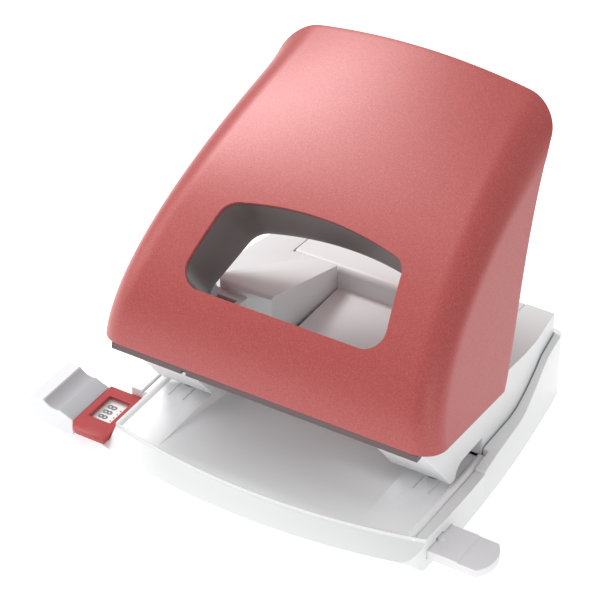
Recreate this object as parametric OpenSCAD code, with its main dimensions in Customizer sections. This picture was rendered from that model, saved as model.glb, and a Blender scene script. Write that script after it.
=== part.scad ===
// Two-hole desk punch with a guide rail, sprung pins and a lever with a grip window.
// Frame: +X to the user's right, +Y away from the user, +Z up. X = 0 is the plane of
// symmetry, Y = 0 lies at the front corners of the foot and Z = 0 is the table top.

/* [Punching] */
// Distance between the two punched holes
hole_spacing = 80; // [80]
// Radius of a punch pin
pin_r = 2.75; // [2.5:0.05:3]
// Distance of the hole centres from the paper stop
stop_distance = 12; // [12]
// Depth position of the hole centres
hole_y = 33; // [33]

/* [Base] */
// Widest half width of the base
base_half_w = 52.6; // [52:0.1:54]
// Depth of the back face of the base
base_back_y = 95.5; // [95:0.5:97]
// Height of the paper table
table_z = 10; // [10:0.1:10.4]
// Height of the side wall at the front
front_wall_z = 11.2; // [11:0.1:11.6]
// Height of the wall round the back
back_wall_z = 22; // [21.6:0.2:22.4]
// Depth where the front shell meets the rear shell
seam_y = 37.6; // [37.4:0.1:38]

/* [Housing] */
// Half width of the pin housing
housing_half_w = 47.2; // [46.8:0.1:47.4]
// Half width of the gap between the two cheeks
cheek_inner_x = 29; // [28.6:0.1:29.2]
// Height of the front roof, under the lever
front_roof_z = 36.2; // [36:0.1:36.4]
// Half width of the recess between the side covers
recess_half_w = 20; // [19:0.5:21]

/* [Lever] */
// Half width of the lever at its lower edge
lever_half_w = 53.6; // [53.2:0.1:53.8]
// Wall of the lever shell
lever_wall = 2.4; // [2.2:0.1:2.6]
// Radius of the long edges of the lever
lever_edge_r = 7; // [6.5:0.5:8]

/* [Guide rail] */
// Width of the rail
rail_w = 13; // [12.6:0.1:13.2]
// Thickness of the rail
rail_t = 2.8; // [2.6:0.1:2.9]
// Reach of the right end of the rail
rail_right_x = 69.5; // [68:0.1:70]

/* [Hidden] */
$fn = 48;
eps = 0.01;
far = 200;

// Colours
light_grey = [0.88, 0.88, 0.87];
mid_grey = [0.80, 0.80, 0.80];
red = [0.72, 0.30, 0.30];
dark_grey = [0.29, 0.28, 0.28];
steel = [0.70, 0.71, 0.73];

hole_x = hole_spacing / 2;
stop_y = hole_y + stop_distance;
foot_gap = 0.8;

// Pivot of the lever and the roller that presses the pin
pivot_y = 21;
pivot_z = 29.2;
pivot_r = 2;
boss_r = 3.6;
roller_y = 33.4;
roller_z = 31.2;
roller_r = 2.8;
running_gap = 0.05;

// Rail
rail_y0 = 5.7;
rail_y1 = rail_y0 + rail_w;
rail_z0 = 4.1;
rail_z1 = rail_z0 + rail_t;
rail_mid_y = (rail_y0 + rail_y1) / 2;
rail_left_x = -61.6;
slide_gap = 0.3;
pip_r = 1.3;
pip_h = 0.7;

// ---- helpers ----

module mirrored(side) {
    if (side < 0) mirror([1, 0, 0]) children();
    else children();
}

// Extrudes a profile drawn as [depth, height] along X from x0 to x1
module along_x(x0, x1) {
    translate([x0, 0, 0]) rotate([90, 0, 90]) linear_extrude(x1 - x0) children();
}

module box(low, high) {
    translate(low) cube(high - low);
}

// Closed solid through sections that all have the same number of points
module loft(sections) {
    n = len(sections[0]);
    m = len(sections);
    points = [for (s = sections) each s];
    walls = [
        for (i = [0:m - 2]) for (j = [0:n - 1]) let (k = (j + 1) % n)
            each [
                [i * n + j, i * n + k, (i + 1) * n + k],
                [i * n + j, (i + 1) * n + k, (i + 1) * n + j]
            ]
    ];
    low = [[for (j = [n - 1:-1:0]) j]];
    high = [[for (j = [0:n - 1]) (m - 1) * n + j]];
    polyhedron(points, concat(low, walls, high));
}

function bezier(a, b, c, d, t) =
    pow(1 - t, 3) * a + 3 * t * pow(1 - t, 2) * b + 3 * t * t * (1 - t) * c + pow(t, 3) * d;

// ---- base outline ----

side_bow = 0.00126;
bow_mid_y = 26;
function base_half(y) = base_half_w - side_bow * pow(y - bow_mid_y, 2);
function housing_half(y) = min(housing_half_w, base_half(y) - 2.5);

// Plan of the base: elliptic front corners and bowed sides; the front itself is turned
corner_x = 45;
corner_y = 6;
corner_depth = 8.4;
back_round = 3;
function both_sides(right) = concat(right, [for (i = [len(right) - 1:-1:0]) [-right[i][0], right[i][1]]]);
base_plan = both_sides(concat(
    [for (a = [0:15:90])
        [corner_x + (base_half(corner_y) - corner_x) * sin(a), corner_y - corner_depth * cos(a)]],
    [for (y = [14:8:86]) [base_half(y), y]],
    [for (a = [0:22.5:90])
        [base_half(base_back_y - back_round) - back_round * (1 - cos(a)),
         base_back_y - back_round * (1 - sin(a))]]
));

// The front lip is turned about an upright axis far behind the base
nose_r = 195;
nose_y = -7.5;
nose_z = 6;
foot_back = 4.3;
crease_back = 5.2;
parting = 0.3;

module turned_front() {
    translate([0, nose_y + nose_r, 0]) children();
}

// Base block with its sloping lip, up to the given height
module base_block(top_z) {
    intersection() {
        linear_extrude(60) polygon(concat([[-corner_x, nose_y - 1], [corner_x, nose_y - 1]], base_plan));
        turned_front() rotate_extrude($fn = 120) polygon([
            [0, foot_gap], [nose_r - foot_back, foot_gap], [nose_r, nose_z],
            [nose_r - crease_back, table_z], [nose_r - crease_back, top_z], [0, top_z]
        ]);
    }
}

// Side profile of the rear shell's wall
wall_profile = [
    [seam_y, foot_gap], [base_back_y + 1, foot_gap], [base_back_y + 1, back_wall_z], [81.5, back_wall_z],
    [77, 20.4], [72.5, 17.8], [65, 14.3], [61, 13.5], [46, 13.3], [seam_y, 12]
];

// Inner edge of the base wall, a hair outside the housing
wall_gap = 0.4;
table_half_w = 49;
wall_inner_plan = both_sides(concat(
    [[table_half_w + 0.3, nose_y], [table_half_w + 0.3, stop_y]],
    [for (y = [stop_y + 0.2:8:93]) [housing_half(y) + wall_gap, y]],
    [[housing_half(93.5) + wall_gap, 93.5]]
));

floor_t = 1.5;
tray_y0 = 22;
tray_y1 = 91.5;
tray_half_w = 43.5;
well_half_w = 40.5;
well_y = 70;
opening_gap = 0.5;

module rail_tunnel() {
    box([-far, rail_y0 - slide_gap, rail_z0 - slide_gap],
        [far, rail_y1 + slide_gap, rail_z1 + slide_gap]);
    // channel for the rail's raised pip
    box([20, rail_mid_y - pip_r - 0.5, rail_z1], [far, rail_mid_y + pip_r + 0.5, rail_z1 + pip_h + 0.4]);
}

module table_pocket(shrink) {
    intersection() {
        turned_front() translate([0, 0, table_z - table_t - 0.1 + shrink])
            cylinder(r = nose_r - crease_back - parting - shrink, h = 30, $fn = 120);
        box([-table_half_w - parting + shrink, nose_y, 0], [table_half_w + parting - shrink, stop_y - 0.1, 60]);
    }
}

module tray_opening() {
    box([-tray_half_w - opening_gap, tray_y0 - opening_gap, -1], [tray_half_w + opening_gap, well_y + opening_gap, 30]);
    box([-well_half_w - opening_gap, well_y, -1], [well_half_w + opening_gap, tray_y1 + opening_gap, 30]);
}

module base_front_shell() {
    color(light_grey) difference() {
        union() {
            difference() {
                base_block(front_wall_z);
                box([-48.6, 4.4, foot_gap + floor_t], [48.6, 80, 30]);
            }
            // ribs that carry the rail
            for (x = [-36, -12, 12, 36])
                box([x - 1, 4, foot_gap + floor_t - 0.1], [x + 1, 20, rail_z0 - slide_gap - 0.05]);
        }
        box([-far, seam_y - 0.1, -1], [far, far, 60]);
        table_pocket(0);
        tray_opening();
        rail_tunnel();
        frame_notch();
        foot_pockets();
    }
}

module base_rear_shell() {
    color(light_grey) difference() {
        intersection() {
            translate([0, 0, foot_gap]) linear_extrude(back_wall_z) polygon(base_plan);
            along_x(-far, far) polygon(wall_profile);
        }
        translate([0, 0, foot_gap + floor_t]) linear_extrude(40) polygon(wall_inner_plan);
        tray_opening();
        foot_pockets();
    }
}

// ---- feet ----

foot_r = 3.6;
foot_spots = [[0, 0], [-46.6, 25], [46.6, 25], [-44.6, 88], [44.6, 88]];
foot_depth = 0.5;

module foot_pockets() {
    for (p = foot_spots) translate([p[0], p[1], -1]) cylinder(r = 2.3, h = 1 + foot_gap + foot_depth);
}

module rubber_feet() {
    color(dark_grey) for (p = foot_spots) translate([p[0], p[1], 0]) cylinder(r = 2.2, h = foot_gap + foot_depth - 0.05);
}

// ---- paper table ----

table_t = 1.6;
scoop_half_w = 32;
scoop_wall = 1.1;
scoop_side = 1.2;
scoop_floor = [[3, table_z], [16.6, 8.75], [22, 8], [30, 6.6], [39, 5.3], [stop_y, 4.9]];
ridge_x = 47.4;
ridge_r = 1.5;
slit_w = 0.6;

module scoop_profile(lift) {
    polygon(concat([for (p = scoop_floor) [p[0], p[1] + lift]], [[stop_y + 1, 30], [3, 30]]));
}

module paper_table() {
    color(mid_grey) difference() {
        union() {
            intersection() {
                table_pocket(0.1);
                box([-far, nose_y, table_z - table_t], [far, stop_y - 0.1, table_z]);
            }
            // trough below the scoop
            intersection() {
                along_x(-scoop_half_w - scoop_side, scoop_half_w + scoop_side)
                    polygon(concat(
                        [for (p = scoop_floor) [p[0], min(p[1] - scoop_wall, table_z - table_t)]],
                        [[stop_y, table_z - eps], [3, table_z - eps]]
                    ));
                box([-far, 3, 0], [far, stop_y - 0.1, 20]);
            }
            for (s = [-1, 1]) translate([s * ridge_x, 4, table_z - 0.2]) rotate([-90, 0, 0])
                cylinder(r = ridge_r, h = stop_y - 4.2);
        }
        along_x(-scoop_half_w, scoop_half_w) scoop_profile(0);
        frame_notch();
        for (s = [-1, 1]) {
            translate([s * hole_x, hole_y, 0]) cylinder(r = pin_r + 0.4, h = 20);
            for (dx = [-2.4, 2.4])
                box([s * hole_x + dx - slit_w / 2, 23.5, table_z - 0.5], [s * hole_x + dx + slit_w / 2, 30.5, 20]);
        }
    }
}

// ---- die plates ----

die_top = 8.2;
die_t = 1.8;

module die_plate(side) {
    mirrored(side) color(steel) difference() {
        box([33.8, 26.5, die_top - die_t], [45.8, 39.5, die_top]);
        translate([hole_x, hole_y, 0]) cylinder(r = pin_r + running_gap, h = 20);
    }
}

// ---- side covers ----

roof_back_y = 93.2;
roof_slope = 0.072;
function roof_z(y) = 31.8 - roof_slope * (y - 50);
cheek_tip = [27, 12.8];
cheek_knee = [14.6, 28.5];
cheek_top = [9.4, 35.1];
slot_top = 17;
ceiling_z = 13.4;
skirt_z = 10.9;
cover_t = 1.7;
cover_seam_x = 35.3;
recess_y0 = 47;
recess_y1 = 79.5;

cover_profile = [
    cheek_tip, cheek_knee, cheek_top, [10.4, front_roof_z], [45, front_roof_z], [50, roof_z(50)],
    [roof_back_y, roof_z(roof_back_y)], [roof_back_y, skirt_z], [stop_y, skirt_z], [stop_y, slot_top],
    [33, slot_top - 0.2], [31.4, 15.9], [30.2, 14.1], [29.4, cheek_tip[1]]
];

function cover_plan() = concat(
    [[cheek_inner_x, -10], [housing_half_w, -10]],
    [for (y = [45:8:93]) [housing_half(y), y]],
    [[housing_half(roof_back_y + 1), roof_back_y + 1], [cover_seam_x, roof_back_y + 1],
     [cover_seam_x, recess_y1 + 0.2], [recess_half_w, recess_y1 + 0.2],
     [recess_half_w + 1.5, stop_y], [cheek_inner_x, stop_y]]
);

// Raised hump beside the recess: tapers and falls towards the back
hump_front_y = 47;
hump_top_z = 38.4;
hump_slope = 0.26;
function hump_z(y) = hump_top_z - hump_slope * (y - hump_front_y);
module hump() {
    intersection() {
        linear_extrude(60) polygon([
            [recess_half_w + 1.2, 45], [34, 44.4], [39, 46], [40.6, 49.5], [38, 57], [32.5, 70],
            [27, recess_y1 + 0.2], [recess_half_w, recess_y1 + 0.2]
        ]);
        along_x(0, 60) polygon([
            [44, 25], [44, hump_top_z - 1.2], [45.2, hump_top_z - 0.2], [hump_front_y, hump_z(hump_front_y)],
            [recess_y1 + 1, hump_z(recess_y1 + 1)], [recess_y1 + 1, 25]
        ]);
    }
}

module cover_hollow() {
    // room for the pin works, over the slot's ceiling
    along_x(cheek_inner_x + cover_t, housing_half_w - cover_t + 0.1) polygon([
        [27.1, 15.1], [11.8, front_roof_z - cover_t], [44.5, front_roof_z - cover_t],
        [49, roof_z(49) - cover_t], [56, roof_z(56) - cover_t], [56, 0], [stop_y + cover_t, 0],
        [stop_y + cover_t, 15.1]
    ]);
    // room behind, down to the tray
    intersection() {
        linear_extrude(60) polygon([
            [recess_half_w + 3, 56 - eps], [44.4, 56 - eps], [44, 70], [42.6, 84], [42, 91.4], [37, 91.4],
            [37, 82], [recess_half_w + 3, 82 - cover_t]
        ]);
        along_x(0, 60) polygon([[55, 0], [55, roof_z(56) - cover_t], [92, roof_z(92) - cover_t], [92, 0]]);
    }
    // slot in the front roof for the lever's ears and the rollers
    box([cheek_inner_x + cover_t, 14.6, front_roof_z - cover_t - 0.1], [housing_half_w - cover_t - 1.2, 42, 60]);
    // paper slot between the ceiling and the outer wall
    box([cheek_inner_x - 1, 10, 0], [housing_half_w - cover_t + 0.1, stop_y, ceiling_z]);
    translate([hole_x, hole_y, 0]) cylinder(r = pin_r + 0.5, h = 20);
    // lower edge over the pivot clip
    translate([housing_half_w - 3, 31.2, 14.4]) rotate([0, 90, 0]) cylinder(r = 0.9, h = 6);
}

module side_cover(side) {
    mirrored(side) color(light_grey) difference() {
        union() {
            intersection() {
                along_x(0, 60) polygon(cover_profile);
                linear_extrude(60) polygon(cover_plan());
            }
            hump();
        }
        cover_hollow();
    }
}

// ---- rear cover ----

recess_floor_z = 22;
module rear_cover() {
    fit = 0.2;
    color(light_grey) difference() {
        union() {
            // floor of the recess and paper stop
            box([-recess_half_w + fit, stop_y + 1, recess_floor_z - cover_t],
                [recess_half_w - fit, recess_y1 + 2, recess_floor_z]);
            box([-cheek_inner_x + 8, stop_y + fit, 4], [cheek_inner_x - 8, stop_y + cover_t, recess_floor_z]);
            box([-cheek_inner_x + fit, stop_y + fit, 4], [cheek_inner_x - fit, stop_y + cover_t, skirt_z - fit]);
            // block behind the recess, with a round front edge
            intersection() {
                along_x(-cover_seam_x + fit, cover_seam_x - fit) union() {
                    polygon([
                        [recess_y1 + 0.4, 12], [recess_y1 + 0.4, roof_z(81) - 2], [recess_y1 + 2.4, roof_z(82)],
                        [roof_back_y, roof_z(roof_back_y)], [roof_back_y, 12]
                    ]);
                    translate([recess_y1 + 2.4, roof_z(82) - 2]) circle(r = 2);
                }
                box([-far, recess_y1 + 0.4, 0], [far, roof_back_y, 60]);
            }
        }
        box([-cover_seam_x + 2, recess_y1 + 2, 0], [cover_seam_x - 2, roof_back_y - cover_t, recess_floor_z + 3.5]);
    }
}

// ---- punch frames ----

plate_in_x = 31;
plate_t = 1.5;
plate_out_x = 44.1;
plate_out_t = 1.2;
spine_y0 = stop_y + cover_t + 0.3;
spine_y1 = 55;
web_z = 15.3;
web_t = 1.5;
guide_r = 5;
jaw_profile = [
    [26, 4.7], [spine_y1, 4.7], [spine_y1, 28.6], [48, 29.4], [44, 33.4],
    [16, 33.4], [15.4, 31.2], [25.6, 18.2], [28.2, web_z], [spine_y0, web_z], [spine_y0, 6.2], [26, 6.2]
];

module punch_frame(side) {
    mirrored(side) color(steel) difference() {
        union() {
            along_x(plate_in_x, plate_in_x + plate_t) polygon(jaw_profile);
            along_x(plate_out_x, plate_out_x + plate_out_t) polygon(jaw_profile);
            box([plate_in_x, 26, 4.7], [plate_out_x + plate_out_t, spine_y1, 6.2]);
            box([plate_in_x, 28.2, web_z], [plate_out_x + plate_out_t, spine_y1, web_z + web_t]);
            box([plate_in_x, spine_y1 - 1.5, 4.7], [plate_out_x + plate_out_t, spine_y1, 28.6]);
        }
        translate([hole_x, hole_y, web_z - 2]) cylinder(r = guide_r - 0.98, h = 6);
        translate([hole_x, hole_y, 0]) cylinder(r = pin_r + 0.8, h = 10);
        translate([0, pivot_y, pivot_z]) rotate([0, 90, 0]) cylinder(r = pivot_r + 0.02, h = 60);
        for (p = screw_spots) translate([p[0], p[1], 0]) cylinder(r = 1.25, h = 10);
        // clear of the table's trough
        box([plate_in_x - 1, 20, 4], [scoop_half_w + scoop_side + 0.4, stop_y + 1.6, 8]);
    }
}

module pin_guide(side) {
    mirrored(side) color([0.75, 0.68, 0.45]) difference() {
        translate([hole_x, hole_y, web_z]) union() {
            cylinder(r = guide_r - 1, h = web_t + 0.1);
            translate([0, 0, web_t]) cylinder(r = 3.9, h = 0.7);
        }
        translate([hole_x, hole_y, 0]) cylinder(r = pin_r + running_gap, h = 30);
    }
}

module pivot_pin(side) {
    mirrored(side) color(steel) translate([plate_in_x - 0.2, pivot_y, pivot_z]) rotate([0, 90, 0])
        cylinder(r = pivot_r, h = plate_out_x + plate_out_t - plate_in_x + 0.1);
}

// Retaining clip in the middle of each pivot pin, beside the lever's ear
module pivot_clips() {
    for (s = [-1, 1]) mirrored(s) color(steel) translate([35.5, pivot_y, pivot_z]) rotate([0, 90, 0])
        difference() {
            cylinder(r = boss_r - 0.2, h = 0.8);
            translate([0, 0, -1]) cylinder(r = pivot_r + 0.02, h = 3);
            translate([0, 2.2, -1]) rotate([0, 0, 45]) cube([4, 4, 3]);
        }
}

screw_spots = [[34.8, 51], [39.4, 51]];
module frame_screws() {
    for (s = [-1, 1]) mirrored(s) color(steel) for (p = screw_spots) translate([p[0], p[1], 0]) {
        translate([0, 0, 2.7]) cylinder(r = 2.1, h = 1.4);
        translate([0, 0, 4]) cylinder(r = 1.2, h = 5.5);
    }
}

// ---- format window ----

frame_x0 = -59.6;
frame_x1 = -47.3;
frame_y0 = -2.4;
frame_y1 = 19.6;
frame_z0 = 7.25;
frame_z1 = 8.9;
view_x0 = -57.3;
view_x1 = -50.1;
view_y0 = 5;
view_y1 = 15.6;
frame_fit = 0.2;

module format_frame() {
    color(red) difference() {
        union() {
            intersection() {
                box([frame_x0, frame_y0, frame_z0], [frame_x1, frame_y1, frame_z1]);
                translate([0, 0, -1]) linear_extrude(20) polygon([
                    [-70, 30], [frame_x0, frame_y0 + 3], [frame_x0 + 1, frame_y0 + 1], [frame_x0 + 3, frame_y0],
                    [-40, frame_y0], [-40, 30]
                ]);
            }
            box([frame_x0, rail_y1 + slide_gap, 3.4], [-base_half_w - frame_fit, frame_y1, frame_z1 - eps]);
        }
        box([view_x0, view_y0, 0], [view_x1, view_y1, 20]);
    }
}

// Notch in the base's left wall and the table, where the format frame sits
module frame_notch() {
    box([-far, frame_y0 - frame_fit, frame_z0 - 0.05], [frame_x1 + frame_fit, frame_y1 + frame_fit, 60]);
}

module format_lens() {
    color([0.85, 0.92, 0.95, 0.35])
        box([view_x0 + 0.1, view_y0 + 0.1, frame_z0 + 0.1], [view_x1 - 0.1, view_y1 - 0.1, frame_z0 + 0.7]);
}

module rail_detent() {
    color(steel) along_x(-20, 20) polygon([
        [20.2, 2.4], [20.9, 2.4], [20.9, 6.4], [20.2, 6.4], [19.35, 5.6], [20.2, 4.8]
    ]);
}

// ---- lever ----

face_a = [5, 38];
face_b = [5.5, 66];
face_c = [45, 86];
face_d = [91, 99.4];
rim_a = [44, 36.2];
rim_b = [53, 48];
rim_c = [62, 72];
rim_d = [85.3, 92.6];
side_taper = 0.1875;
crown = 4.6;
edge_growth = 1.5;
function edge_radius(t) = lever_edge_r + edge_growth * t * t;
rows = 20;
lower_edge_z = 36;

function face_at(t) = bezier(face_a, face_b, face_c, face_d, t);
function rim_at(t) = bezier(rim_a, rim_b, rim_c, rim_d, t);
side_bulge = 0.6;
skirt_from_z = 37;
shell_height = 64;
function lever_half(z) = let (s = (z - skirt_from_z) / shell_height)
    lever_half_w - side_taper * (z - skirt_from_z) + side_bulge * 4 * s * (1 - s);

// Point on the shell: t runs up the face, x_in and reach place it across and back
function shell_row(t, inset) = let (
    f = face_at(t),
    r = rim_at(t),
    reach = norm(r - f),
    d = (r - f) / reach,
    round_r = edge_radius(t),
    edge = round_r - inset,
    lift = crown * t * t,
    turn = [for (a = [0:15:90]) let (
        s = round_r - edge * cos(a), p = f + d * min(s, reach),
        half = lever_half(p[1]),
        x = half - round_r + edge * sin(a))
            [x, p[0], p[1] + lift * (1 - pow(x / half, 2))]],
    leg = [for (q = [0.34, 0.67, 1]) let (s = round_r + max(reach - round_r, 0.3) * q, p = f + d * s)
        [lever_half(p[1]) - inset, p[0], p[1]]],
    flat_half = turn[0][0],
    top = f + d * inset,
    flat = [for (q = [0, 0.35, 0.7]) let (x = flat_half * q)
        [x, top[0], top[1] + lift * (1 - pow(x / lever_half(top[1]), 2))]]
) concat(flat, turn, leg);

function mirrored_row(row) = concat(
    [for (i = [len(row) - 1:-1:1]) [-row[i][0], row[i][1], row[i][2]]], row
);

module lever_form(inset) {
    skin = [for (i = [0:rows]) mirrored_row(shell_row(i / rows, 0))];
    lining = [for (i = [0:rows]) mirrored_row(shell_row(i / rows, inset))];
    sections = [for (i = [0:rows]) concat(skin[i], [for (j = [len(lining[i]) - 1:-1:0]) lining[i][j]])];
    loft(sections);
}

// Window of the lever, drawn in the plane of the front face
window_y = 13.1;
window_z = 59.4;
window_tilt = 39.4;
window_h = 26.9;
window_r = 6;
window_low_half = 31.2;
window_top_half = 28.6;
window_arch = 3;

module window_plane() {
    translate([0, window_y, window_z]) rotate([window_tilt, 0, 0]) children();
}

module window_outline(grow) {
    offset(r = window_r + grow) polygon(concat(
        [[-window_low_half + window_r, window_r], [window_low_half - window_r, window_r]],
        [for (q = [1:-0.25:-1])
            [(window_top_half - window_r) * q, window_h - window_r + window_arch * (1 - q * q)]]
    ), $fn = 24);
}

module lever_shell() {
    color(red) difference() {
        lever_form(lever_wall);
        window_plane() translate([0, 0, -20]) linear_extrude(40) window_outline(0);
    }
}

collar_t = 1.5;
collar_cut = 26;
module window_collar() {
    color(dark_grey) difference() {
        window_plane() translate([0, 0, -30]) linear_extrude(27.4) difference() {
            window_outline(collar_t);
            window_outline(0.15);
        }
        // inner end of the collar, cut at a slant
        translate([-far / 2, 24.3, 44.5]) rotate([collar_cut, 0, 0]) translate([0, -60, -60]) cube([far, 160, 60]);
        // keep clear of the shell
        lever_outside();
    }
}

// Everything in front of the shell's inner face
module lever_outside() {
    outer = [for (i = [2:rows]) let (f = face_at(i / rows), r = rim_at(i / rows), d = (r - f) / norm(r - f))
        f + d * (lever_wall + 0.15)];
    along_x(-60, 60) polygon(concat(outer, [[90, 130], [-20, 130], [-20, 40]]));
}

module lever_lip_strip() {
    color([0.50, 0.40, 0.41]) difference() {
        along_x(-48.4, 48.4) polygon([[4.9, lower_edge_z], [7.3, lower_edge_z], [7.6, 37.8], [5.15, 37.8]]);
        box([-25.4, 4, 35], [-24, 6, 37.2]);
    }
}

ear_x0 = 33.2;
ear_t = 1.8;
ear_profile = [
    [9.6, 41.4], [12, 49.5], [16, 54], [22, 57], [31, 54], [35.6, 44], [36, 30], [33.4, 27.8], [27, 25.6],
    [21, 25.6], [18.4, 27.4], [15.4, 33], [15.4, 37.4]
];
module lever_bracket() {
    color(steel) difference() {
        union() {
            for (s = [-1, 1]) mirrored(s) along_x(ear_x0, ear_x0 + ear_t) union() {
                polygon(ear_profile);
                translate([pivot_y, pivot_z]) circle(r = boss_r);
            }
            along_x(-ear_x0 - ear_t, ear_x0 + ear_t) polygon([[8.3, 41], [9.9, 41], [12.3, 49.5], [10.7, 49.5]]);
        }
        translate([-60, pivot_y, pivot_z]) rotate([0, 90, 0]) cylinder(r = pivot_r + running_gap, h = 120);
        translate([-60, roller_y, roller_z]) rotate([0, 90, 0]) cylinder(r = 1.22, h = 120);
        for (x = lever_screw_x) translate([x, 0, 0]) lever_screw_axis() cylinder(r = 1.3, h = 20, center = true);
    }
}

module press_roller(side) {
    mirrored(side) color(steel) translate([ear_x0 + ear_t + 0.2, roller_y, roller_z]) rotate([0, 90, 0]) difference() {
        cylinder(r = roller_r, h = 7.6);
        translate([0, 0, -1]) cylinder(r = 1.25, h = 20);
    }
}

module roller_pins() {
    for (s = [-1, 1]) mirrored(s) color(steel) translate([ear_x0 - 0.1, roller_y, roller_z]) rotate([0, 90, 0]) union() {
        cylinder(r = 1.2, h = 10.1);
        translate([0, 0, 9.9]) cylinder(r = 2, h = 0.6);
    }
}

lever_screw_x = [-26, -9, 9, 26];
module lever_screw_axis() {
    translate([0, 10.2, 45]) rotate([-105.8, 0, 0]) children();
}
// Spacers between the shell and the bracket
module lever_spacers() {
    color(dark_grey) for (x = lever_screw_x) translate([x, 0, 0]) lever_screw_axis() difference() {
        translate([0, 0, -1.4]) cylinder(r = 2.7, h = 0.58);
        translate([0, 0, -3]) cylinder(r = 1.3, h = 4);
    }
}

module lever_screws() {
    color(steel) for (x = lever_screw_x) translate([x, 0, 0]) lever_screw_axis() union() {
        translate([0, 0, 0.85]) cylinder(r = 2.2, h = 1.2);
        translate([0, 0, -1.5]) cylinder(r = 1.2, h = 2.4);
    }
}

// ---- punch pins ----

pin_tip_z = 13;
head_z = 26;
head_h = 2;
head_r = 3.9;

module punch_pin(side) {
    mirrored(side) color(steel) translate([hole_x, hole_y, 0]) difference() {
        union() {
            translate([0, 0, pin_tip_z]) cylinder(r = pin_r, h = head_z - pin_tip_z + eps);
            translate([0, 0, head_z]) cylinder(r = head_r, h = head_h);
        }
        // hollow-ground tip: two rising edges
        translate([-10, 0, pin_tip_z - 1.6]) rotate([0, 90, 0]) cylinder(r = 2.4, h = 20);
    }
}

module pin_washer(side) {
    mirrored(side) color(steel) translate([hole_x, hole_y, head_z - 0.6]) difference() {
        cylinder(r = 4.1, h = 0.55);
        translate([0, 0, -1]) cylinder(r = pin_r + 0.02, h = 3);
    }
}

spring_z0 = web_z + web_t + 0.75;
spring_z1 = head_z - 0.65;
spring_mean_r = 3.5;
spring_wire_r = 0.32;
spring_turns = 4.5;
module return_spring(side) {
    steps = 54;
    rise = spring_z1 - spring_z0 - 2 * spring_wire_r;
    sections = [for (i = [0:steps]) let (a = i / steps * 360 * spring_turns, z = spring_z0 + spring_wire_r + rise * i / steps)
        [for (b = [0:60:300]) [
            (spring_mean_r + spring_wire_r * cos(b)) * cos(a),
            (spring_mean_r + spring_wire_r * cos(b)) * sin(a),
            z + spring_wire_r * sin(b)
        ]]];
    mirrored(side) color(steel) translate([hole_x, hole_y, 0]) loft([for (i = [steps:-1:0]) sections[i]]);
}

// ---- guide rail ----

module guide_rail() {
    color(mid_grey) difference() {
        union() {
            box([rail_left_x, rail_y0, rail_z0], [rail_right_x - rail_w / 2, rail_y1, rail_z1]);
            intersection() {
                translate([rail_right_x - rail_w / 2 - 3, rail_mid_y, rail_z0]) cylinder(r = rail_w / 2 + 3, h = rail_t);
                box([rail_right_x - rail_w, rail_y0, rail_z0], [rail_right_x, rail_y1, rail_z1]);
            }
        }
        // thinner, dished finger grip at the end
        box([rail_right_x - 8.5, rail_y0 - 1, rail_z1 - 0.35], [far, rail_y1 + 1, far]);
        // slot along the rail for the detent and the stop rib
        box([-30, rail_mid_y - 1.2, rail_z0 - 1], [-8, rail_mid_y + 1.2, far]);
        // notches on the back edge that the detent drops into
        for (i = [0:7]) translate([-12 + 9 * i, rail_y1 + 0.4, rail_z0 - 1]) cylinder(r = 0.7, h = 9);
    }
}

module rail_end_pip() {
    color(mid_grey) translate([53, rail_mid_y, rail_z1]) cylinder(r = pip_r, h = pip_h);
}

flap_y0 = 1;
flap_y1 = 19.4;
flap_shift = 0.4;
module stop_flap() {
    color(mid_grey) difference() {
        translate([flap_shift, flap_y1, 0]) rotate([90, 0, 0]) linear_extrude(flap_y1 - flap_y0) difference() {
            polygon([[-60.7, 3.2], [-60.7, 8.2], [-70.3, 11.9], [-74.8, 11.9], [-75.5, 10.6], [-74.4, 5.6], [-72, 3.2]]);
            translate([-66.4, 14.9]) circle(r = 5.2);
        }
        box([rail_left_x - 0.05, rail_y0 - 0.05, rail_z0 - 0.05], [0, rail_y1 + 0.05, rail_z1 + 0.05]);
        box([-65.6, 6.6, 7], [-62.2, 13.6, 7.6]);
    }
}

module format_label() {
    color([0.95, 0.95, 0.93]) box([-59.2, rail_y0 + 0.6, rail_z1], [-4, rail_y1 - 0.6, rail_z1 + 0.15]);
}

// ---- chip tray ----

hinge_y = 89.6;
hinge_z = 3.2;
tray_floor_z = 0.9;
tray_rim_z = 3.5;
well_front_y = 57;
well_rim_z = 10.5;
module chip_tray() {
    t = 1.2;
    color(mid_grey) difference() {
        union() {
            box([-tray_half_w, tray_y0, tray_floor_z], [tray_half_w, well_y, tray_rim_z]);
            box([-well_half_w, well_front_y, tray_floor_z], [well_half_w, tray_y1 - 4.4, well_rim_z]);
            for (x = [-38, 0, 38]) translate([x - 3, hinge_y, hinge_z]) rotate([0, 90, 0]) cylinder(r = 1.9, h = 6);
            for (x = [-38, 0, 38]) box([x - 3, tray_y1 - 5, 1.4], [x + 3, hinge_y, 3.4]);
        }
        box([-tray_half_w + t, tray_y0 + t, tray_floor_z + t], [tray_half_w - t, well_front_y + eps, 20]);
        box([-well_half_w + t, well_front_y - 1, tray_floor_z + t], [well_half_w - t, tray_y1 - 4.4 - t, 20]);
        translate([-60, hinge_y, hinge_z]) rotate([0, 90, 0]) cylinder(r = 1 + running_gap, h = 120);
    }
}

module tray_hinge_rod() {
    color(steel) translate([-43, hinge_y, hinge_z]) rotate([0, 90, 0]) cylinder(r = 1, h = 86);
}

module tray_latch() {
    color(mid_grey) box([-6, tray_y0 + 1.3, tray_floor_z + 1.2], [6, tray_y0 + 3, 3.4]);
}

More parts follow.
